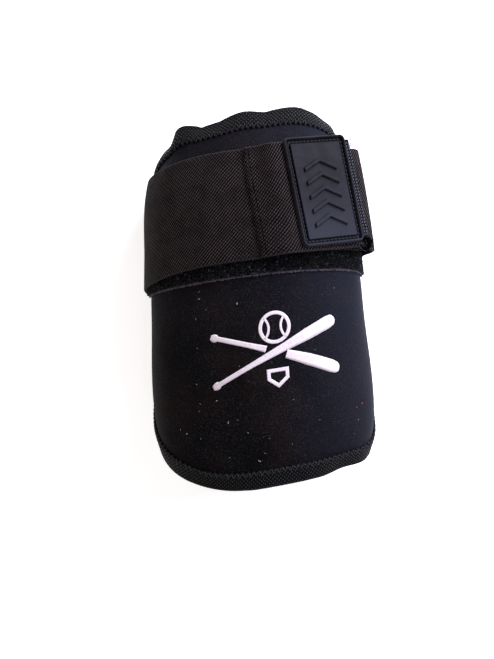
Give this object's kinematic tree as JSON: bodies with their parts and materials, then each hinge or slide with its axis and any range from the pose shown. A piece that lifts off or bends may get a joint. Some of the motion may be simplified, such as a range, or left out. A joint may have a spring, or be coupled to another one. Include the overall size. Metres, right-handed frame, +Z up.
{
  "type": "baseball elbow guard",
  "caption": "Padded half-tube guard for a batter's elbow and forearm, closed behind the arm by one wide elastic hook-and-loop strap with a rubber patch.",
  "frame": {"origin": "middle of the footprint on the surface that the guard lies on", "axes": "+Z up out of the crown, +Y along the arm to the end with the strap, +X to the side where the strap's free end fastens"},
  "size_m": [0.1264, 0.204, 0.0668],
  "materials": {
    "pad_cloth": "matt suede-like black cloth on foam",
    "binding_tape": "woven mesh tape with a slight sheen",
    "loop_pile": "deep black fuzzy loop pile",
    "strap_elastic": "black woven elastic with fine diagonal ribs",
    "hook_cloth": "black hook tape",
    "patch_rubber": "satin moulded soft rubber",
    "print_ink": "thin matt white transfer print",
    "sewing_thread": "black sewing thread"
  },
  "bodies": {
    "root": {"padded_panel": "pad_cloth", "edge_tape": "binding_tape", "loop_strip": "loop_pile", "elastic_strap": "strap_elastic", "hook_tab": "hook_cloth", "rubber_patch": "patch_rubber"}
  },
  "joints": []
}
